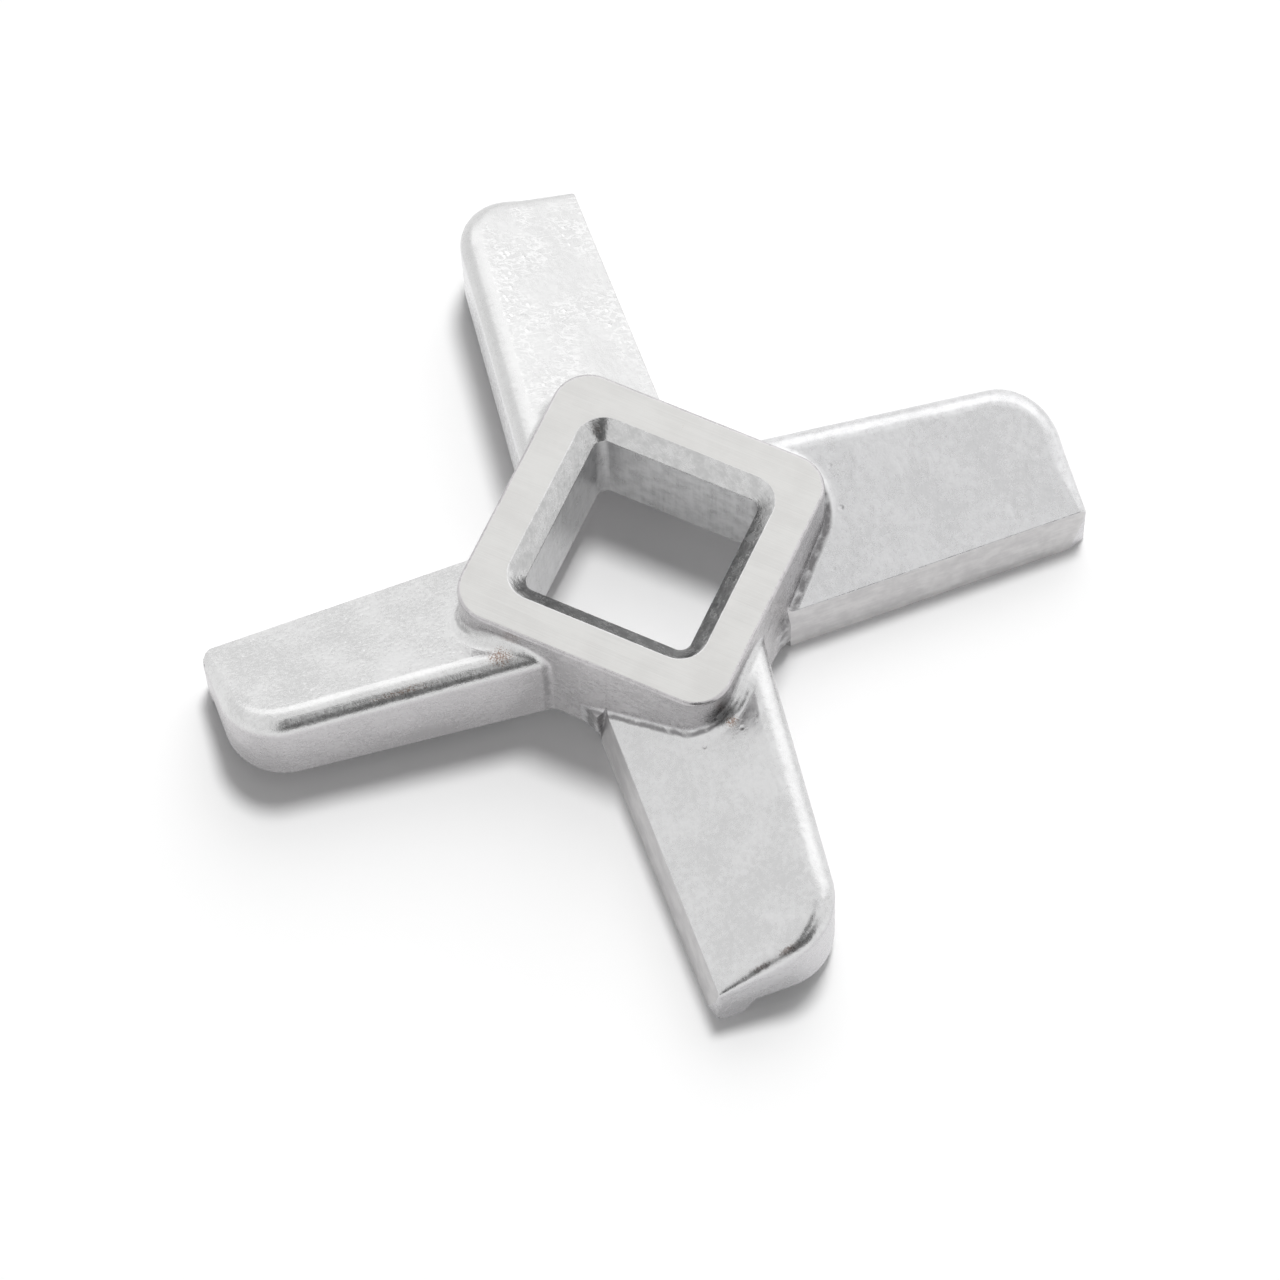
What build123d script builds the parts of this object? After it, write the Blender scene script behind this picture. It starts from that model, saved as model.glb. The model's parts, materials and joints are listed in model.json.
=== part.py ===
from build123d import *
from math import hypot, radians, sqrt, tan
import os

os.makedirs("parts", exist_ok=True)

# Four-blade grinder knife, one investment casting.
# Frame: the axis of the drive hole is Z, the lands under the cutting edges lie on Z = 0,
# the ground hub face looks up. Each blade is drawn along X and turned onto a diagonal
# of the hub, with its leading side towards -Y and its trailing side towards +Y.

# Hub
hub_side = 20.0             # across the flats of the square hub
hub_corner_radius = 2.6     # upright corners of the hub
hub_top = 11.5              # ground hub face above the lands
hub_rim_radius = 0.25       # broken outer rim of the ground face

# Drive hole
hole_side = 12.2            # across the flats of the square hole
hole_corner_radius = 0.8    # upright corners of the hole
hole_chamfer = 1.2          # lead-in chamfer at the hub face
hole_back_chamfer = 1.1     # the same on the underside

# Blades
blade_count = 4
first_blade_angle = 45.0    # blades leave the hub at its corners
tip_reach = 30.3            # flat end of a blade from the axis
tip_corner_radius = 4.3     # plan radius of the trailing corner of the tip
lead_offset = 6.3           # cutting edge from the blade's centre line
lead_height = 4.45          # top of the ground leading face above the lands
lead_lean = 6.2             # the ground face leans back from its cutting edge, degrees
trail_offset = 6.35         # trailing wall from the centre line, at the hub's axis
trail_taper = 5.7           # trailing wall turns in towards the tip, degrees
ridge_drop = 1.7            # ridge of the blade below the hub face, at the hub
ridge_radius = 1.25         # rounding along the ridge and round the tip corner
tip_edge_radius = 0.4       # the end edge's rounding runs down to this at the leading face
root_radius = 1.0           # blend between blade and hub
web_share = 0.5             # part of the free hub wall that the web at a leading side takes

# Grinding of the leading faces
grind_gap = 0.45            # ground face starts this far out from the hub wall
grind_over = 0.9            # wheel reaches this far above the leading edge
grind_depth = 2.0           # room cleared in front of the ground face

# Underside
relief_height = 1.5         # underside of hub and blades above the lands
land_width = 2.2            # flat land under each cutting edge
land_step = 0.85            # run of the sloped step beside the land
land_clear = 0.36           # from the chamfer of the hole to the foot of that step

# Worked out from the sizes above
half_side = hub_side / 2
half_diagonal = hub_side / sqrt(2)
blade_start = half_side / 2
lean = tan(radians(lead_lean))
taper = tan(radians(trail_taper))
ground_edge = lead_offset - lean * lead_height
trail_at_start = trail_offset - taper * blade_start
trail_at_tip = trail_offset - taper * tip_reach
trail_at_hub = (trail_offset - taper * half_diagonal) / (1 - taper)
rise = (hub_top - ridge_drop - lead_height) / (trail_at_hub - ridge_radius + ground_edge)
tip_corner_start = trail_at_tip - tip_corner_radius
even_rounding_start = tip_corner_start - ridge_radius
free_wall = hub_side - sqrt(2) * (lead_offset + trail_at_hub)
web_radius = web_share * free_wall / tan(radians(22.5))
grind_start = half_diagonal - lead_offset + grind_gap
grind_height = lead_height + grind_over
step_foot = lead_offset - land_width - land_step
land_start = sqrt(2) * (hole_side / 2 + hole_back_chamfer + land_clear) - step_foot


def top_at(y):
    """Height of the sloped blade top at this offset from the blade's centre line."""
    return lead_height + rise * (y + ground_edge)


def across_top(x, y):
    """Plane square to the lines that climb the blade top, with its X outwards."""
    return Plane(origin=(x, y, top_at(y)), x_dir=(1, 0, 0), z_dir=(0, 1, rise))


def end_edge_waste(y, radius):
    """What a rounding of this radius takes off the end edge."""
    clear = ridge_radius
    with BuildSketch(across_top(tip_reach, y)) as waste:
        with BuildLine():
            Polyline((-radius, 0), (-radius, -clear), (clear, -clear), (clear, radius), (0, radius))
            RadiusArc((0, radius), (-radius, 0), radius)
        make_face()
    return waste.sketch


def off_hub_wall(point):
    """Distance of a point from the upright walls of the hub."""
    flat = half_side - hub_corner_radius
    past_x = max(abs(point.X) - flat, 0)
    past_y = max(abs(point.Y) - flat, 0)
    return abs(hypot(past_x, past_y) - hub_corner_radius)


def root_edges():
    """Edges along which the blades leave the upright walls of the hub."""
    return knife.edges().filter_by(
        lambda e: max(off_hub_wall(e @ t) for t in (0, 0.3, 0.7, 1)) < 0.01
        and relief_height + 0.01 < e.bounding_box().max.Z < hub_top - 0.01
    )


# Sharp-edged blade: tapering plan, rounded trailing corner, sloped top
with BuildPart() as blank:
    with BuildSketch(Plane.XY.offset(relief_height)) as blade_plan:
        with BuildLine():
            Polyline(
                (blade_start, -lead_offset),
                (tip_reach, -lead_offset),
                (tip_reach, trail_at_tip),
                (blade_start, trail_at_start),
                close=True,
            )
        make_face()
        tip_corner = blade_plan.vertices().group_by(Axis.X)[-1].sort_by(Axis.Y)[-1]
        fillet(tip_corner, tip_corner_radius)
    extrude(amount=hub_top)
    split(bisect_by=Plane(origin=(0, 0, top_at(0)), z_dir=(0, -rise, 1)), keep=Keep.BOTTOM)

# The rounding is even along the ridge and the tip corner, and tapers along the end edge,
# so the two stretches are made apart and joined just before the tip corner.
parting = across_top(0, even_rounding_start)

with BuildPart() as trailing_stretch:
    add(blank.part)
    blade_top = trailing_stretch.faces().sort_by(Axis.Z)[-1]
    ridge = blade_top.edges().filter_by(
        lambda e: e.center().X > blade_start + 0.1 and e.center().Y > -lead_offset + 0.1
    )
    fillet(ridge, ridge_radius)
    split(bisect_by=parting, keep=Keep.TOP)

with BuildPart() as blade:
    add(blank.part)
    split(bisect_by=parting, keep=Keep.BOTTOM)
    taper_per_mm = (ridge_radius - tip_edge_radius) / (even_rounding_start + lead_offset)
    with BuildPart(mode=Mode.SUBTRACT):
        add(end_edge_waste(even_rounding_start, ridge_radius))
        add(end_edge_waste(-lead_offset - 1, tip_edge_radius - taper_per_mm))
        loft(ruled=True)
    add(trailing_stretch.part)

    # land under the cutting edge, sloped on its inner side and its inner end
    with BuildPart(mode=Mode.PRIVATE) as land:
        with BuildSketch(Plane.YZ.offset(land_start)):
            with BuildLine():
                Polyline(
                    (-lead_offset, 0),
                    (-lead_offset + land_width, 0),
                    (-lead_offset + land_width + land_step, relief_height),
                    (-lead_offset, relief_height),
                    close=True,
                )
            make_face()
        extrude(amount=tip_reach - land_start)
        inner_end = Plane(origin=(land_start, 0, relief_height), z_dir=(relief_height, 0, land_step))
        split(bisect_by=inner_end, keep=Keep.TOP)
    add(land.part)

# Grinding wheel's path along one leading face
with BuildPart() as grinding:
    with BuildSketch(Plane.YZ.offset(grind_start)):
        with BuildLine():
            Polyline(
                (-lead_offset - grind_depth, -grind_depth),
                (-lead_offset - lean * grind_depth, -grind_depth),
                (-lead_offset + lean * grind_height, grind_height),
                (-lead_offset - grind_depth, grind_height),
                close=True,
            )
        make_face()
    extrude(amount=tip_reach)

with BuildPart() as knife:
    with BuildSketch(Plane.XY.offset(relief_height)):
        RectangleRounded(hub_side, hub_side, hub_corner_radius)
    extrude(amount=hub_top - relief_height)
    with PolarLocations(0, blade_count, start_angle=first_blade_angle):
        add(blade.part)

    # blends where the blades leave the hub, with a larger web at each leading side
    webs = root_edges().filter_by(Axis.Z).group_by(SortBy.LENGTH)[0]
    fillet(webs, web_radius)
    fillet(root_edges(), root_radius)

    with PolarLocations(0, blade_count, start_angle=first_blade_angle):
        add(grinding.part, mode=Mode.SUBTRACT)

    # drive hole with its lead-ins, and the broken rim of the hub face
    with BuildSketch(Plane.XY.offset(hub_top)):
        RectangleRounded(hole_side, hole_side, hole_corner_radius)
    extrude(amount=-hub_top, mode=Mode.SUBTRACT)
    hub_face = knife.faces().sort_by(Axis.Z)[-1]
    hub_back = knife.faces().filter_by(Axis.Z).group_by(Axis.Z)[1].sort_by(SortBy.AREA)[-1]
    rim = hub_face.outer_wire().edges()
    chamfer(hub_face.inner_wires()[0].edges(), hole_chamfer)
    chamfer(hub_back.inner_wires()[0].edges(), hole_back_chamfer)
    fillet(rim, hub_rim_radius)

knife.part.label = "knife"
export_step(knife.part, "parts/knife.step")
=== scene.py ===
import bpy
import json
from math import cos, hypot, radians, sin
from mathutils import Euler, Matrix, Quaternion, Vector

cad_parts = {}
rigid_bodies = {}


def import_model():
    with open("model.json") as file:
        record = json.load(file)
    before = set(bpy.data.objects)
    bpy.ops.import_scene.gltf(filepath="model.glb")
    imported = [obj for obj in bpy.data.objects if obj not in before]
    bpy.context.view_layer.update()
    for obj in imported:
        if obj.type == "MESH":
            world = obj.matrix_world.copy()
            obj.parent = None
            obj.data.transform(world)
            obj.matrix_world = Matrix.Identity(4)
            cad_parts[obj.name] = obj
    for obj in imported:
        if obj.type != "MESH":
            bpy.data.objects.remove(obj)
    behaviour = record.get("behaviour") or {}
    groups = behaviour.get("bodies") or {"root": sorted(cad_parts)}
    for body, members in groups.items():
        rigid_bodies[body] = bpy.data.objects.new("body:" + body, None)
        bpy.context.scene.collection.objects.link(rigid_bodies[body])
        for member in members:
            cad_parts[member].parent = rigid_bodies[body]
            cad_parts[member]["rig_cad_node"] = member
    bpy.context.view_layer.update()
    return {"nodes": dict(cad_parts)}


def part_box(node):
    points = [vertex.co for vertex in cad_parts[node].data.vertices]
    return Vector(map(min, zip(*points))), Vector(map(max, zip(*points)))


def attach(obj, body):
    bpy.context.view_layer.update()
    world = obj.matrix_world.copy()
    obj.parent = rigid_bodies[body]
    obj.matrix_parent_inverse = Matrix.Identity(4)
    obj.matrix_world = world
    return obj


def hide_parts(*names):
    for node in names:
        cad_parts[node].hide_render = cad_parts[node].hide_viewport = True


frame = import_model()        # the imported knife, in metres
mm = 0.001
print("frame loaded")


# small helpers for shader trees

def putNode(tree, kind, settings=None, **inputs):
    node = tree.nodes.new(kind)
    for name, value in (settings or {}).items():
        setattr(node, name, value)
    for name, value in inputs.items():
        feed(tree, node.inputs[name.replace("_", " ")], value)
    return node


def feed(tree, socket, value):
    # a link where the value is another node's output, a plain value otherwise
    if isinstance(value, bpy.types.NodeSocket):
        tree.links.new(value, socket)
    else:
        socket.default_value = value


def math(tree, operation, first, second=0.0, third=0.0, clamp=False):
    node = putNode(tree, "ShaderNodeMath", {"operation": operation, "use_clamp": clamp})
    for socket, value in zip(node.inputs, (first, second, third)):
        feed(tree, socket, value)
    return node.outputs[0]


def vectorMath(tree, operation, first, second):
    node = putNode(tree, "ShaderNodeVectorMath", {"operation": operation})
    for socket, value in zip(node.inputs, (first, second)):
        feed(tree, socket, value)
    return node.outputs["Value" if operation in ("DOT_PRODUCT", "LENGTH") else "Vector"]


def spread(tree, value, low, high, toLow=0.0, toHigh=1.0, smooth=True):
    # takes low..high to toLow..toHigh and holds beyond them
    kind = "SMOOTHSTEP" if smooth else "LINEAR"
    node = putNode(tree, "ShaderNodeMapRange", {"interpolation_type": kind})
    for socket, part in zip(node.inputs, (value, low, high, toLow, toHigh)):
        feed(tree, socket, part)
    return node.outputs["Result"]


def mixColours(tree, share, first, second, blend="MIX"):
    node = putNode(tree, "ShaderNodeMix", {"data_type": "RGBA", "blend_type": blend})
    feed(tree, node.inputs[0], share)
    feed(tree, node.inputs[6], first)
    feed(tree, node.inputs[7], second)
    return node.outputs[2]


def noise(tree, vector, scale, detail=2.0, rough=0.5, distortion=0.0):
    node = putNode(tree, "ShaderNodeTexNoise", Vector=vector, Scale=scale, Detail=detail,
                   Roughness=rough, Distortion=distortion)
    return node.outputs["Fac"]


def perSize(tree, size):
    # scale of a texture whose features are this many mm wide
    return math(tree, "DIVIDE", 1 / mm, size)


def newGroup(name, inputs, outputs):
    # inputs and outputs are name: socket kind, or name: (socket kind, first value)
    tree = bpy.data.node_groups.new(name, "ShaderNodeTree")
    for label, kind in inputs.items():
        kind, value = kind if isinstance(kind, tuple) else (kind, None)
        socket = tree.interface.new_socket(label, in_out="INPUT", socket_type="NodeSocket" + kind)
        if value is not None:
            socket.default_value = value
    for label, kind in outputs.items():
        tree.interface.new_socket(label, in_out="OUTPUT", socket_type="NodeSocket" + kind)
    return tree, tree.nodes.new("NodeGroupInput").outputs, tree.nodes.new("NodeGroupOutput").inputs


def useGroup(tree, group, **inputs):
    return putNode(tree, "ShaderNodeGroup", {"node_tree": group}, **inputs).outputs


# effects that several finishes share

def makeCastSkin():
    # skin of an investment casting: ripples, pebbles, wrinkles that run along Y, grain, pits and beads;
    # sizes and heights go in as mm, Height comes out in m, and Polish is where a polishing wheel reached
    # the tops of wrinkles and beads
    tree, given, made = newGroup("castSkin", {
        "Vector": "Vector",
        "Ripple": ("Float", 0.05), "Ripple Size": ("Float", 1.8),
        "Pebble": ("Float", 0.02), "Pebble Size": ("Float", 0.35),
        "Wrinkle": ("Float", 0.0), "Wrinkle Size": ("Float", 0.5),
        "Grain": ("Float", 0.008), "Grain Size": ("Float", 0.12),
        "Pits": ("Float", 0.0), "Beads": ("Float", 0.0), "Bead Size": ("Float", 0.9)},
        {"Height": "Float", "Tone": "Float", "Polish": "Float"})
    perMetre = {"patches": 230.0, "clouds": 260.0, "pits": 620.0, "pitPatches": 300.0}
    place = given["Vector"]
    ripple = noise(tree, place, perSize(tree, given["Ripple Size"]), 2.0, 0.55, 0.4)
    pebble = noise(tree, place, perSize(tree, given["Pebble Size"]), 2.0, 0.5, 0.2)
    grain = noise(tree, place, perSize(tree, given["Grain Size"]), 2.0, 0.6)
    squeezed = vectorMath(tree, "MULTIPLY", place, (1.0, 0.3, 0.6))
    fold = noise(tree, squeezed, perSize(tree, given["Wrinkle Size"]), 2.0, 0.5, 0.6)
    fold = math(tree, "ABSOLUTE", math(tree, "SUBTRACT", fold, 0.5))
    drift = noise(tree, place, perMetre["patches"], 2.0)        # wrinkles and beads come in patches
    wrinkle = math(tree, "MULTIPLY", spread(tree, fold, 0.07, 0.0), spread(tree, drift, 0.34, 0.56))
    cells = putNode(tree, "ShaderNodeTexVoronoi", Vector=place, Scale=perSize(tree, given["Bead Size"]),
                    Randomness=1.0)
    lone = math(tree, "MULTIPLY", cells.outputs["Color"], spread(tree, drift, 0.45, 0.6))
    bead = math(tree, "MULTIPLY", spread(tree, cells.outputs["Distance"], 0.3, 0.06),
                spread(tree, lone, 0.15, 0.45))
    holes = putNode(tree, "ShaderNodeTexVoronoi", Vector=place, Scale=perMetre["pits"], Randomness=1.0)
    rare = spread(tree, noise(tree, place, perMetre["pitPatches"], 1.0), 0.5, 0.6)
    pit = math(tree, "MULTIPLY", spread(tree, holes.outputs["Distance"], 0.16, 0.04), rare)
    height = math(tree, "MULTIPLY", ripple, given["Ripple"])
    for form, share in ((pebble, "Pebble"), (grain, "Grain"), (wrinkle, "Wrinkle"), (bead, "Beads")):
        height = math(tree, "MULTIPLY_ADD", form, given[share], height)
    height = math(tree, "MULTIPLY_ADD", pit, math(tree, "MULTIPLY", given["Pits"], -1.0), height)
    feed(tree, made["Height"], math(tree, "MULTIPLY", height, mm))
    fine = math(tree, "MULTIPLY_ADD", grain, 0.35, math(tree, "MULTIPLY", pebble, 0.65))
    cloud = noise(tree, place, perMetre["clouds"], 4.0, 0.6, 0.3)
    feed(tree, made["Tone"], math(tree, "MULTIPLY_ADD", cloud, 0.45, math(tree, "MULTIPLY", fine, 0.55)))
    fullFold, fullBead = 0.006, 0.03        # mm, heights from which the tops are polished fully
    foldShare = 0.42                        # wrinkles are polished less than beads
    folds = math(tree, "MULTIPLY", wrinkle, spread(tree, given["Wrinkle"], 0.0, fullFold, smooth=False))
    beads = math(tree, "MULTIPLY", bead, spread(tree, given["Beads"], 0.0, fullBead, smooth=False))
    feed(tree, made["Polish"], math(tree, "MAXIMUM", math(tree, "MULTIPLY", folds, foldShare), beads))
    return tree


def makeStrokes():
    # parallel grinding or brushing strokes along X of the vector that comes in, with sizes in mm
    tree, given, made = newGroup("strokes", {
        "Vector": "Vector",
        "Spacing": ("Float", 0.12), "Length": ("Float", 6.0), "Depth": ("Float", 0.002)},
        {"Height": "Float", "Tone": "Float"})
    across = perSize(tree, given["Spacing"])
    stretch = putNode(tree, "ShaderNodeCombineXYZ", X=perSize(tree, given["Length"]), Y=across, Z=across)
    stretched = vectorMath(tree, "MULTIPLY", given["Vector"], stretch.outputs[0])
    fine = noise(tree, stretched, 1.0, 3.0, 0.65)
    broad = noise(tree, stretched, 0.23, 2.0, 0.5)
    feed(tree, made["Height"], math(tree, "MULTIPLY", fine, math(tree, "MULTIPLY", given["Depth"], mm)))
    feed(tree, made["Tone"], math(tree, "MULTIPLY_ADD", broad, 0.5, math(tree, "MULTIPLY", fine, 0.5)))
    return tree


def makeStainAndShade():
    # a mark with grit that thins out from one place: scale left in a corner after polishing,
    # and painted dark reflection and shade where a finish puts it; Soft takes the edges off the grit
    tree, given, made = newGroup("stain", {
        "Vector": "Vector", "Place": "Vector", "Reach": ("Vector", (1, 1, 1)),
        "Grit": ("Float", 0.1), "Cover": ("Float", 0.5), "Soft": ("Float", 0.0)},
        {"Mask": "Float"})
    away = vectorMath(tree, "SUBTRACT", given["Vector"], given["Place"])
    away = vectorMath(tree, "LENGTH", vectorMath(tree, "DIVIDE", away, given["Reach"]), (0, 0, 0))
    near = math(tree, "MULTIPLY", spread(tree, away, 1.0, 0.0), given["Cover"])
    grit = noise(tree, given["Vector"], perSize(tree, given["Grit"]), 3.0, 0.7)
    edge = spread(tree, near, 0.0, 1.0, 0.78, math(tree, "SUBTRACT", 0.4, given["Soft"]), smooth=False)
    solid = math(tree, "ADD", edge, math(tree, "ADD", 0.12, given["Soft"]))
    feed(tree, made["Mask"], spread(tree, grit, edge, solid))
    return tree


def makeRootLine():
    # dark line at the foot of the hub's walls, where a blade begins: scale, and painted shade in the crease;
    # all sizes are in mm, Half Flat and Corner are the hub's plan, Off is how far from its walls the line
    # runs and Top is where it ends
    tree, given, made = newGroup("rootLine", {
        "Vector": "Vector",
        "Half Flat": ("Float", 7.4), "Corner": ("Float", 2.6),
        "Off": ("Float", 0.25), "Width": ("Float", 0.2), "Top": ("Float", 9.3)},
        {"Mask": "Float"})
    place = putNode(tree, "ShaderNodeSeparateXYZ",
                    Vector=vectorMath(tree, "MULTIPLY", given["Vector"], (1 / mm, 1 / mm, 1 / mm)))
    squares = []
    for axis in ("X", "Y"):
        side = math(tree, "SUBTRACT", math(tree, "ABSOLUTE", place.outputs[axis]), given["Half Flat"])
        squares.append(math(tree, "POWER", math(tree, "MAXIMUM", side, 0.0), 2.0))
    out = math(tree, "SQRT", math(tree, "ADD", *squares))
    waverPerMetre = 900.0
    waver = noise(tree, given["Vector"], waverPerMetre, 3.0, 0.6)
    off = math(tree, "SUBTRACT", math(tree, "SUBTRACT", out, given["Corner"]), given["Off"])
    off = math(tree, "ABSOLUTE", math(tree, "MULTIPLY_ADD", math(tree, "SUBTRACT", waver, 0.5), 0.3, off))
    line = spread(tree, off, given["Width"], math(tree, "MULTIPLY", given["Width"], 0.2))
    line = math(tree, "MULTIPLY", line, spread(tree, waver, 0.3, 0.55, 0.4, 1.0))
    below = math(tree, "SUBTRACT", given["Top"], place.outputs["Z"])
    feed(tree, made["Mask"], math(tree, "MULTIPLY", line, spread(tree, below, 0.0, 0.8)))
    return tree


castSkin = makeCastSkin()
strokes = makeStrokes()
stain = makeStainAndShade()
rootLine = makeRootLine()
print("shader groups made")


# the knife: its sizes as packed, how its edges and corners are worn, and how its faces are told apart

knife = {
    "weld": 0.002,             # mm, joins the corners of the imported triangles
    "flatBelow": 0.3,          # degrees, triangles of one flat face are joined
    "brokenEdge": 0.05,        # mm, every sharp edge is broken this much
    "edgeSteps": 2,            # faces across a broken edge
    "sharpAbove": 35,          # degrees, edges that are broken
    "smoothBelow": 30,         # degrees, edges that shade smooth
    "wornCorners": {135: 0.6, 45: 0.4, -45: 0.3, -135: 1.5},    # mm, leading tip corner by blade angle
    "cornerCuts": (-18, -36, -54, -72),     # degrees, the flat cuts that round such a corner
    "cornerMiddle": 3.0,       # mm, height at which its radius is set out
    "cutReach": 5.0,           # mm, the cuts leave every face alone that comes nearer to the axis
    "cutWeld": 0.01,           # mm, a cut joins what lies this near to it
    "tipReach": 30.3,          # mm, flat end of a blade from the axis
    "leadOffset": 6.3,         # mm, cutting edge from the blade's centre line
    "leadLean": 6.2,           # degrees, the ground faces lean back from the cutting edges
    "topSlope": 28.0,          # degrees, the blade tops climb from the leading to the trailing side
    "hubHalf": 10.0,           # mm, half the hub's width
    "hubCorner": 2.6,          # mm, radius of its upright corners
    "holeHalf": 6.1,           # mm, half the hole's width
    "chamfer": 1.2,            # mm, lead-in of the hole
    "holeSkin": 0.01,          # mm, faces this near to the hole's walls are part of them
    "wallSkin": 0.03,          # mm, the same for the hub's walls
    "faceSkin": 0.05,          # mm, the same for the hub face and the lands
    "chamferSkin": 0.1,        # mm, the same for the outer edge of the lead-in
    "level": 0.99,             # least Z of a normal that looks straight up
    "groundLevel": 0.9995,     # the same for a ground face, along its own direction
    "topLevels": (0.975, 0.995),    # along a blade top: below it is a rounding, above it is flat
    "wallLevels": (0.45, 0.15),     # Z of a normal: above it is a top, below it is a wall
}


# the knife's finishes

brownScaleAndShade = (0.33, 0.24, 0.20)     # brown scale that polishing left in the corners; along the last blade's ridge it is painted dark reflection
paintedEndReflection = (0.25, 0.215, 0.205)    # painted dark reflection, widening the dark band on the rounding at the end of a blade
greyScaleAndShade = (0.20, 0.195, 0.20)     # grey scale and painted shade at the hub's walls: dark reflection on the walls, and shade in the crease where a blade leaves the hub
webGrey = (0.28, 0.27, 0.275)    # a darker grey on the webs at the leading roots
polished = (0.92, 0.92, 0.92)       # tops of wrinkles and beads, where the polishing wheel reached them
tintRange = (0.38, 0.62)            # levels of a noise between which the tint goes from dark to light
roughRange = (0.35, 0.65)           # the same for the roughness
castRough = (0.24, 0.32)            # roughness of the casting's skin

# one casting skin for each blade, as the four blades of a casting differ: vary is how far its tint wanders,
# wall and lead make its upright walls and its ground face darker or lighter, a less polished wall tone and,
# per blade, painted light and shade; root is the dark line where it leaves the hub; places are in mm along,
# across and above the blade
blades = {
    "blade1": {"angle": 135, "tint": (0.69, 0.69, 0.69), "vary": 0.05, "wall": (1.14, 1.14, 1.15),
               "root": 0.3, "lead": 1.0,
               "Ripple": 0.05, "Ripple Size": 1.3, "Pebble": 0.02, "Pebble Size": 0.4, "Grain": 0.005,
               "Grain Size": 0.12, "Wrinkle": 0.009, "Wrinkle Size": 0.38, "Beads": 0.035, "Bead Size": 0.75},
    "blade2": {"angle": 45, "tint": (0.76, 0.76, 0.768), "vary": 0.11, "wall": (0.86, 0.85, 0.86),
               "root": 1.0, "rootWidth": 0.36, "lead": 1.04,
               "Ripple": 0.05, "Ripple Size": 2.4, "Pebble": 0.012, "Pebble Size": 0.5, "Grain": 0.007,
               "Grain Size": 0.14, "Pits": 0.02,
               "stains": [{"place": (8.3, -6.5, 3.6), "reach": (1.4, 1.4, 3.0), "cover": 0.8, "grit": 0.2,
                           "soft": 0.3, "colour": (0.42, 0.41, 0.415)}]},
    "blade3": {"angle": -45, "tint": (0.715, 0.715, 0.718), "vary": 0.09, "wall": (0.85, 0.84, 0.855),
               "root": 0.9, "lead": 0.92,
               "Ripple": 0.06, "Ripple Size": 1.6, "Pebble": 0.014, "Pebble Size": 0.4, "Grain": 0.008,
               "Grain Size": 0.12, "Pits": 0.04,
               # at the hub's near corner: brown scale, and painted dark reflection
               "stains": [{"place": (13.6, 1.4, 8.4), "reach": (1.0, 1.4, 0.9), "cover": 1.0,
                           "colour": brownScaleAndShade},
                          {"place": (8.3, -6.5, 3.6), "reach": (1.5, 1.5, 3.0), "cover": 0.9,
                           "grit": 0.2, "soft": 0.3, "colour": webGrey},
                          # at the hub's near corner: grey scale, and painted dark reflection
                          {"place": (13.1, 0.1, 8.5), "reach": (1.0, 1.7, 1.0), "cover": 0.9,
                           "grit": 0.2, "soft": 0.3, "colour": greyScaleAndShade},
                          # painted dark reflection on the rounding at the blade's end
                          {"place": (29.9, -2.7, 5.9), "reach": (0.5, 2.6, 1.6), "cover": 0.75,
                           "grit": 0.16, "soft": 0.3, "colour": paintedEndReflection},
                          {"place": (29.75, -0.7, 6.9), "reach": (0.55, 2.0, 1.6), "cover": 0.9,
                           "grit": 0.16, "soft": 0.3, "colour": paintedEndReflection}]},
    "blade4": {"angle": -135, "tint": (0.73, 0.73, 0.73), "vary": 0.10, "wall": (0.83, 0.81, 0.825),
               "root": 0.5, "lead": 1.0,
               "Ripple": 0.05, "Ripple Size": 1.8, "Pebble": 0.03, "Pebble Size": 0.26, "Grain": 0.012,
               "Grain Size": 0.1, "Pits": 0.01, "Beads": 0.012, "Bead Size": 0.5,
               "stains": [{"place": (11.6, 4.0, 9.2), "reach": (2.4, 1.8, 1.6), "cover": 1.0,
                           "colour": brownScaleAndShade},
                          # painted dark reflection along the trailing ridge
                          {"place": (19.0, 3.9, 8.9), "reach": (9.5, 0.8, 0.8), "cover": 0.85,
                           "colour": brownScaleAndShade}]},
}
hubCast = {"angle": 0, "tint": (0.58, 0.565, 0.575), "vary": 0.16, "wall": (0.94, 0.94, 0.94), "root": 0.0,
           "Ripple": 0.06, "Ripple Size": 1.6, "Pebble": 0.03, "Pebble Size": 0.35, "Grain": 0.01,
           "Grain Size": 0.12, "Pits": 0.03,
           # the hub's near corner: grey scale, and painted dark reflection
           "stains": [{"place": (9.4, -9.1, 9.3), "reach": (2.2, 2.2, 3.4), "cover": 1.0,
                       "colour": greyScaleAndShade},
                      # painted dark reflection on the hub's wall that faces +X
                      {"place": (10.0, -5.0, 7.6), "reach": (0.8, 5.0, 3.2), "cover": 0.75, "grit": 0.2,
                       "colour": greyScaleAndShade},
                      {"place": (1.0, -10.3, 3.4), "reach": (1.6, 1.2, 2.8), "cover": 0.8, "grit": 0.2,
                       "soft": 0.3, "colour": webGrey}]}


def newMaterial(name):
    material = bpy.data.materials.new(name)
    material.use_nodes = True
    tree = material.node_tree
    tree.nodes.clear()
    metal = putNode(tree, "ShaderNodeBsdfPrincipled", Metallic=1.0)
    tree.links.new(metal.outputs[0], putNode(tree, "ShaderNodeOutputMaterial").inputs["Surface"])
    place = putNode(tree, "ShaderNodeTexCoord").outputs["Object"]
    return material, tree, metal, place


def turned(tree, vector, angle):
    # the same place in a frame whose X looks along this angle
    return putNode(tree, "ShaderNodeMapping", Vector=vector, Rotation=(0, 0, -radians(angle))).outputs[0]


def shade(colour, share):
    return (*[share * part for part in colour], 1)


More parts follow.
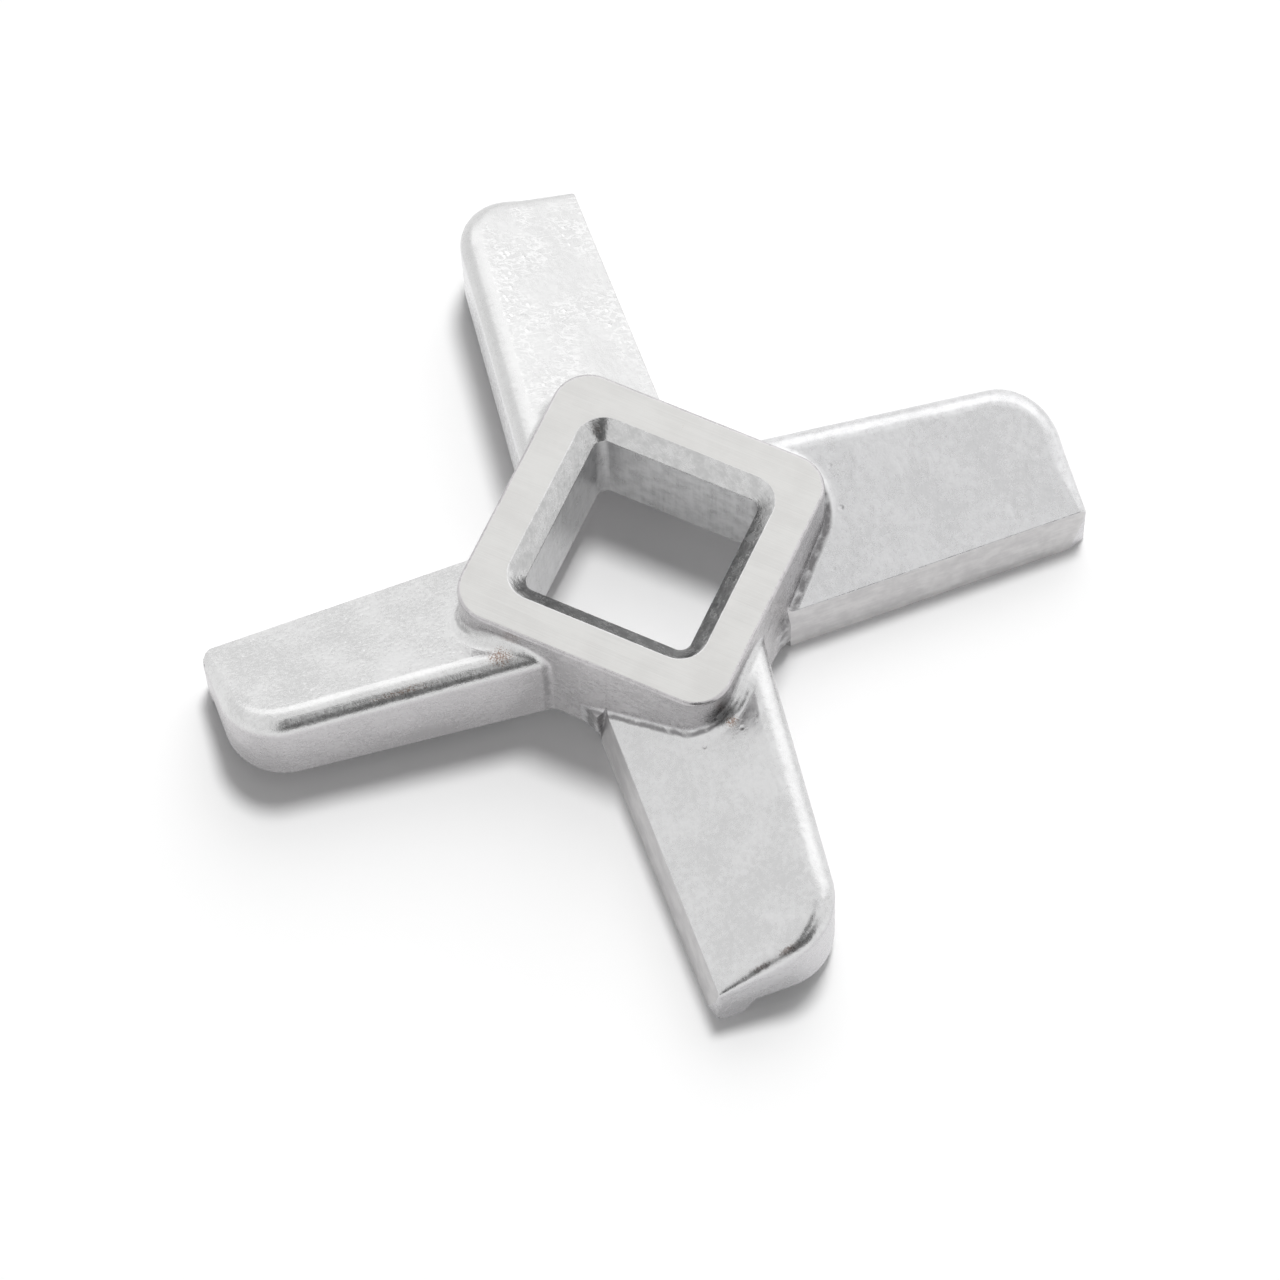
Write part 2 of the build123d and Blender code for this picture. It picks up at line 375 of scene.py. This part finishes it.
def addStainsAndShade(tree, colour, place, stains):
    for mark in stains:
        spot = useGroup(tree, stain, Vector=place, Place=Vector(mark["place"]) * mm,
                        Reach=Vector(mark["reach"]) * mm, Cover=mark["cover"],
                        Grit=mark.get("grit", 0.1), Soft=mark.get("soft", 0.0))
        colour = mixColours(tree, spot["Mask"], colour, (*mark["colour"], 1))
    return colour


def castSteel(name, skin):
    material, tree, metal, place = newMaterial(name)
    facing = turned(tree, putNode(tree, "ShaderNodeTexCoord").outputs["Normal"], skin["angle"])
    slope = radians(knife["topSlope"])
    likeTop = vectorMath(tree, "DOT_PRODUCT", facing, (0, -sin(slope), cos(slope)))
    flat = spread(tree, likeTop, *knife["topLevels"])           # roundings are polished smoother
    wall = spread(tree, vectorMath(tree, "DOT_PRODUCT", facing, (0, 0, 1)), *knife["wallLevels"])
    values = {key.replace(" ", "_"): skin[key] for key in skin if key[0].isupper()}
    for form in ("Wrinkle", "Beads"):
        values[form] = math(tree, "MULTIPLY", flat, skin.get(form, 0.0))
    pebbleShare = spread(tree, flat, 0.0, 1.0, 0.35, 1.0)
    values["Pebble"] = math(tree, "MULTIPLY", pebbleShare, skin["Pebble"])
    along = turned(tree, place, skin["angle"])
    cast = useGroup(tree, castSkin, Vector=along, **values)
    colour = mixColours(tree, spread(tree, cast["Tone"], *tintRange), shade(skin["tint"], 1 - skin["vary"]),
                        shade(skin["tint"], 1 + skin["vary"] / 2))
    # upright walls: a less polished tone, and per blade painted light and shade
    colour = mixColours(tree, wall, colour, shade(skin["wall"], 1), "MULTIPLY")
    colour = mixColours(tree, cast["Polish"], colour, (*polished, 1))
    # dark line where the blade leaves the hub: scale, and painted shade in the crease
    line = useGroup(tree, rootLine, Vector=place, Half_Flat=knife["hubHalf"] - knife["hubCorner"],
                    Corner=knife["hubCorner"], Width=skin.get("rootWidth", 0.2))["Mask"]
    colour = mixColours(tree, math(tree, "MULTIPLY", line, skin["root"]), colour, (*greyScaleAndShade, 1))
    colour = addStainsAndShade(tree, colour, along, skin.get("stains", []))
    feed(tree, metal.inputs["Base Color"], colour)
    feed(tree, metal.inputs["Roughness"], spread(tree, cast["Tone"], *roughRange, *castRough))
    bump = putNode(tree, "ShaderNodeBump", Strength=1.0, Distance=1.0, Height=cast["Height"])
    feed(tree, metal.inputs["Normal"], bump.outputs[0])
    return material


def strokedSteel(name, finish):
    # ground, brushed or milled surfaces: strokes along one direction, with nicks where they are rough
    material, tree, metal, place = newMaterial(name)
    along = putNode(tree, "ShaderNodeMapping", Vector=place,
                    Rotation=[radians(part) for part in finish["turn"]]).outputs[0]
    lines = useGroup(tree, strokes, Vector=along, Spacing=finish["spacing"], Length=finish["length"],
                     Depth=finish["depth"])
    cloud = noise(tree, place, 1 / (finish["cloud"] * mm), 3.0, 0.6)
    tone = math(tree, "MULTIPLY_ADD", lines["Tone"], 0.5, math(tree, "MULTIPLY", cloud, 0.5))
    colour = mixColours(tree, spread(tree, tone, *tintRange), (*finish["dark"], 1), (*finish["light"], 1))
    colour = addStainsAndShade(tree, colour, place, finish.get("stains", []))
    feed(tree, metal.inputs["Base Color"], colour)
    feed(tree, metal.inputs["Roughness"], spread(tree, tone, *roughRange, *finish["rough"]))
    nickSize = 0.3 * mm
    nicks = noise(tree, place, 1 / nickSize, 3.0, 0.6, 0.5)
    height = math(tree, "MULTIPLY_ADD", nicks, finish.get("nicks", 0.0) * mm, lines["Height"])
    bump = putNode(tree, "ShaderNodeBump", Strength=1.0, Distance=1.0, Height=height)
    feed(tree, metal.inputs["Normal"], bump.outputs[0])
    return material


# strokes: turn in degrees; spacing, length, depth, nicks and the size of the clouds in mm
finishes = {
    "hubFace": {"turn": (0, 0, 0), "spacing": 0.1, "length": 4.0, "depth": 0.006, "cloud": 3.0,
                "dark": (0.578, 0.573, 0.562), "light": (0.64, 0.636, 0.624), "rough": (0.32, 0.42),
                "stains": [{"place": (-0.9, 8.7, 11.5), "reach": (0.12, 1.5, 0.5), "cover": 0.75,
                            "colour": (0.5, 0.46, 0.42)}]},
    "chamferCut": {"turn": (0, 0, 35), "spacing": 0.16, "length": 1.2, "depth": 0.014, "cloud": 0.7,
                   "nicks": 0.018,
                   "dark": (0.56, 0.56, 0.56), "light": (0.72, 0.72, 0.72), "rough": (0.2, 0.3),
                   # darker at the far corner of the lead-in
                   "stains": [{"place": (-6.3, 6.4, 10.9), "reach": (0.9, 0.9, 1.2), "cover": 0.8,
                               "colour": brownScaleAndShade}]},
    "holeWall": {"turn": (0, 90, 0), "spacing": 0.22, "length": 3.0, "depth": 0.01, "cloud": 0.9,
                 "nicks": 0.015,
                 "dark": (0.42, 0.42, 0.425), "light": (0.58, 0.58, 0.585), "rough": (0.26, 0.36)},
    "land": {"turn": (0, 0, 20), "spacing": 0.12, "length": 3.0, "depth": 0.003, "cloud": 3.0,
             "dark": (0.60, 0.60, 0.60), "light": (0.66, 0.66, 0.66), "rough": (0.25, 0.34)},
}
leadFinish = {"spacing": 0.3, "length": 2.4, "depth": 0.006, "cloud": 1.2, "nicks": 0.012,
              "dark": (0.52, 0.51, 0.515), "light": (0.65, 0.64, 0.64), "rough": (0.34, 0.44)}
for name, skin in blades.items():
    # lighter and darker copies of the ground finish, one per blade: painted light and shade
    shaded = {tone: [skin["lead"] * part for part in leadFinish[tone]] for tone in ("dark", "light")}
    finishes["lead" + name[-1]] = {**leadFinish, **shaded, "turn": (0, 0, -skin["angle"])}

materials = {name: castSteel(name, skin) for name, skin in blades.items()}
materials["hubSide"] = castSteel("hubSide", hubCast)
materials.update({name: strokedSteel(name, finish) for name, finish in finishes.items()})
print("finishes made")


# the casting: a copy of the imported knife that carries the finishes

def copyKnife():
    bpy.ops.object.select_all(action="DESELECT")
    source = frame["nodes"]["knife"]
    source.select_set(True)
    bpy.context.view_layer.objects.active = source
    bpy.ops.object.duplicate()
    piece = bpy.context.active_object
    piece.name = "castKnife"
    piece.parent = None
    del piece["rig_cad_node"]
    bpy.ops.object.mode_set(mode="EDIT")
    bpy.ops.mesh.select_all(action="SELECT")
    bpy.ops.mesh.customdata_custom_splitnormals_clear()
    bpy.ops.mesh.remove_doubles(threshold=knife["weld"] * mm)
    bpy.ops.mesh.dissolve_limited(angle_limit=radians(knife["flatBelow"]))
    bpy.ops.object.mode_set(mode="OBJECT")
    return piece


def roundCorner(piece, angle, radius):
    # rounds the upright corner between the ground face and the end of one blade
    turn = radians(angle)
    outwards, sideways = Vector((cos(turn), sin(turn), 0)), Vector((-sin(turn), cos(turn), 0))
    leadHere = knife["leadOffset"] - sin(radians(knife["leadLean"])) * knife["cornerMiddle"]
    corner = outwards * knife["tipReach"] - sideways * leadHere
    middle = corner + (sideways - outwards) * radius
    for direction in knife["cornerCuts"]:
        facing = outwards * cos(radians(direction)) + sideways * sin(radians(direction))
        bpy.ops.object.mode_set(mode="EDIT")
        bpy.ops.mesh.select_mode(type="FACE")
        bpy.ops.mesh.select_all(action="DESELECT")
        bpy.ops.object.mode_set(mode="OBJECT")
        for face in piece.data.polygons:
            ends = [piece.data.vertices[index].co / mm for index in face.vertices]
            ownFace = all(end.dot(outwards) > knife["cutReach"] for end in ends)
            near = any((Vector((end.x, end.y, 0)) - corner).length < 2 * radius for end in ends)
            face.select = ownFace and near
        bpy.ops.object.mode_set(mode="EDIT")
        bpy.ops.mesh.bisect(plane_co=(middle + facing * radius) * mm, plane_no=facing, clear_outer=True,
                            use_fill=True, threshold=knife["cutWeld"] * mm)
        bpy.ops.object.mode_set(mode="OBJECT")


def breakEdges(piece):
    rounding = piece.modifiers.new("brokenEdges", "BEVEL")
    rounding.limit_method = "ANGLE"
    rounding.angle_limit = radians(knife["sharpAbove"])
    rounding.width = knife["brokenEdge"] * mm
    rounding.segments = knife["edgeSteps"]
    rounding.use_clamp_overlap = False
    bpy.ops.object.modifier_apply(modifier=rounding.name)
    bpy.ops.object.shade_smooth_by_angle(angle=radians(knife["smoothBelow"]))
    levelling = piece.modifiers.new("flatFaces", "WEIGHTED_NORMAL")      # wide faces keep their own shading
    levelling.keep_sharp = True
    bpy.ops.object.modifier_apply(modifier=levelling.name)


def finishOf(middle, normal, top):
    # which finish a face has, by its place and the way it looks
    x, y, z = middle / mm
    level, skin = knife["level"], knife["faceSkin"]
    fromAxis = max(abs(x), abs(y))
    chamferEdge = knife["holeHalf"] + knife["chamfer"] + knife["chamferSkin"]
    if fromAxis < chamferEdge and z > top - knife["chamfer"] - skin and normal.z < level:
        return "chamferCut"
    if normal.z > level and z > top - skin:
        return "hubFace"
    if fromAxis < knife["holeHalf"] + knife["holeSkin"]:
        return "holeWall"
    if normal.z < -level and z < skin:
        return "land"
    flatHalf = knife["hubHalf"] - knife["hubCorner"]
    offWall = hypot(max(abs(x) - flatHalf, 0), max(abs(y) - flatHalf, 0)) - knife["hubCorner"]
    if offWall < knife["wallSkin"]:
        return "hubSide"
    for name, blade in blades.items():
        angle = radians(blade["angle"])
        along = cos(angle) * x + sin(angle) * y
        across = cos(angle) * y - sin(angle) * x
        if along > 0 and abs(across) <= along:
            lean = radians(knife["leadLean"])
            facing = Vector((sin(angle) * cos(lean), -cos(angle) * cos(lean), sin(lean)))
            if normal.dot(facing) > knife["groundLevel"] and across < 0:
                return "lead" + name[-1]
            return name
    return "hubSide"


def dress(piece):
    order = list(materials)
    piece.data.materials.clear()
    for name in order:
        piece.data.materials.append(materials[name])
    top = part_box("knife")[1].z / mm
    for face in piece.data.polygons:
        face.material_index = order.index(finishOf(face.center, face.normal, top))


castKnife = copyKnife()
for angle, width in knife["wornCorners"].items():
    roundCorner(castKnife, angle, width)
breakEdges(castKnife)
dress(castKnife)
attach(castKnife, "root")
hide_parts("knife")
print("casting dressed")


# table, light and camera

studio = {
    "level": 0.93,             # light from all round that the metal mirrors
    "softShare": 0.32,         # part of it that lights the table
    "cards": [                 # azimuth, elevation, half width, half height and soft edge in degrees, level
        (168, 20, 32, 14, 12, 1.2),     # low window behind
        (186, 50, 42, 14, 12, 1.38),    # softbox over the back
        (22, 33, 8, 38, 4, 0.12),       # dark room on the camera's side
        (44, 16, 19, 20, 5, 0.12),      # its lower part
    ],
    "lamps": [                 # what draws the shadows on the table
        {"azimuth": 185, "elevation": 72, "angle": 12, "strength": 1.66},
        {"azimuth": 185, "elevation": 50, "angle": 50, "strength": 0.8},
    ],
    "tableHalf": 3.0,          # m
    "tableGrey": 0.8,
    "tableMirrored": 0.35,     # share of plain white in what the metal mirrors of the table
    "plainWhite": 0.95,        # level of that white
}


def lookFrom(azimuth, elevation):
    # azimuth 0 is the side of -Y, 90 the side of +X
    a, e = radians(azimuth), radians(elevation)
    return Vector((sin(a) * cos(e), -cos(a) * cos(e), sin(e)))


def makeWorld():
    world = bpy.data.worlds.new("studio")
    world.use_nodes = True
    tree = world.node_tree
    tree.nodes.clear()
    look = putNode(tree, "ShaderNodeTexCoord").outputs["Generated"]
    level = studio["level"]
    for azimuth, elevation, halfWidth, halfHeight, soft, cardLevel in studio["cards"]:
        inside = spread(tree, vectorMath(tree, "DOT_PRODUCT", look, lookFrom(azimuth, elevation)), 0.0, 0.1)
        sideways, upwards = lookFrom(azimuth + 90, 0), lookFrom(azimuth, elevation + 90)    # of the card
        for across, half in ((sideways, halfWidth), (upwards, halfHeight)):
            off = math(tree, "ABSOLUTE", vectorMath(tree, "DOT_PRODUCT", look, across))
            edge = spread(tree, off, sin(radians(half + soft)), sin(radians(half)))
            inside = math(tree, "MULTIPLY", inside, edge)
        mixed = putNode(tree, "ShaderNodeMix", {"data_type": "FLOAT"})
        feed(tree, mixed.inputs[0], inside)
        feed(tree, mixed.inputs[2], level)
        feed(tree, mixed.inputs[3], cardLevel)
        level = mixed.outputs[0]
    path = putNode(tree, "ShaderNodeLightPath").outputs
    soft = math(tree, "MULTIPLY", level, studio["softShare"])
    strength = putNode(tree, "ShaderNodeMix", {"data_type": "FLOAT"})
    feed(tree, strength.inputs[0], path["Is Diffuse Ray"])
    feed(tree, strength.inputs[2], level)
    feed(tree, strength.inputs[3], soft)
    seen = putNode(tree, "ShaderNodeMix", {"data_type": "FLOAT"})
    feed(tree, seen.inputs[0], path["Is Camera Ray"])
    feed(tree, seen.inputs[2], strength.outputs[0])
    feed(tree, seen.inputs[3], 1.0)
    back = putNode(tree, "ShaderNodeBackground", Color=(1, 1, 1, 1), Strength=seen.outputs[0])
    tree.links.new(back.outputs[0], putNode(tree, "ShaderNodeOutputWorld").inputs["Surface"])
    bpy.context.scene.world = world


def makeTable():
    bpy.ops.object.select_all(action="DESELECT")
    bpy.ops.mesh.primitive_plane_add(size=2 * studio["tableHalf"], location=(0, 0, 0))
    table = bpy.context.active_object
    table.name = "table"
    material = bpy.data.materials.new("tablePaper")
    material.use_nodes = True
    tree = material.node_tree
    tree.nodes.clear()
    path = putNode(tree, "ShaderNodeLightPath").outputs
    shown = math(tree, "MAXIMUM", path["Is Camera Ray"], path["Is Glossy Ray"])
    shown = math(tree, "MAXIMUM", shown, path["Is Transmission Ray"])
    grey = studio["tableGrey"]
    colour = mixColours(tree, shown, (grey, grey, grey, 1), (1, 1, 1, 1))
    paper = putNode(tree, "ShaderNodeBsdfDiffuse", Color=colour)
    white = putNode(tree, "ShaderNodeEmission", Color=(1, 1, 1, 1), Strength=studio["plainWhite"])
    front = putNode(tree, "ShaderNodeMixShader")
    tree.links.new(math(tree, "MULTIPLY", path["Is Glossy Ray"], studio["tableMirrored"]), front.inputs[0])
    tree.links.new(paper.outputs[0], front.inputs[1])
    tree.links.new(white.outputs[0], front.inputs[2])
    clear = putNode(tree, "ShaderNodeBsdfTransparent")
    side = putNode(tree, "ShaderNodeMixShader")
    tree.links.new(putNode(tree, "ShaderNodeNewGeometry").outputs["Backfacing"], side.inputs[0])
    tree.links.new(front.outputs[0], side.inputs[1])
    tree.links.new(clear.outputs[0], side.inputs[2])
    tree.links.new(side.outputs[0], putNode(tree, "ShaderNodeOutputMaterial").inputs["Surface"])
    table.data.materials.append(material)


def makeLamp(values):
    bpy.ops.object.light_add(type="SUN")
    lamp = bpy.context.active_object
    lamp.name = "shadowLamp"
    lamp.data.energy = values["strength"]
    lamp.data.angle = radians(values["angle"])
    lamp.visible_glossy = False          # the metal mirrors the world, not the lamp
    lamp.rotation_mode = "QUATERNION"
    lamp.rotation_quaternion = lookFrom(values["azimuth"], values["elevation"]).to_track_quat("Z", "Y")


camera = {"azimuth": 28.12, "elevation": 65.6, "roll": -3.66, "distance": 421.87,    # degrees, mm
          "aim": (0.655, -2.355, 0.0), "lens": 171.93}                              # mm


def makeCamera():
    view = bpy.data.cameras.new("view")
    view.lens = camera["lens"]
    view.clip_start = 0.01
    holder = bpy.data.objects.new("view", view)
    bpy.context.scene.collection.objects.link(holder)
    away = lookFrom(camera["azimuth"], camera["elevation"]) * camera["distance"]
    holder.location = (Vector(camera["aim"]) + away) * mm
    level = Euler((radians(90 - camera["elevation"]), 0, radians(camera["azimuth"]))).to_quaternion()
    holder.rotation_mode = "QUATERNION"
    holder.rotation_quaternion = level @ Quaternion((0, 0, 1), radians(camera["roll"]))
    bpy.context.scene.camera = holder


makeWorld()
makeTable()
for values in studio["lamps"]:
    makeLamp(values)
makeCamera()
bpy.context.scene.view_settings.view_transform = "Standard"
print("table, light and camera set")
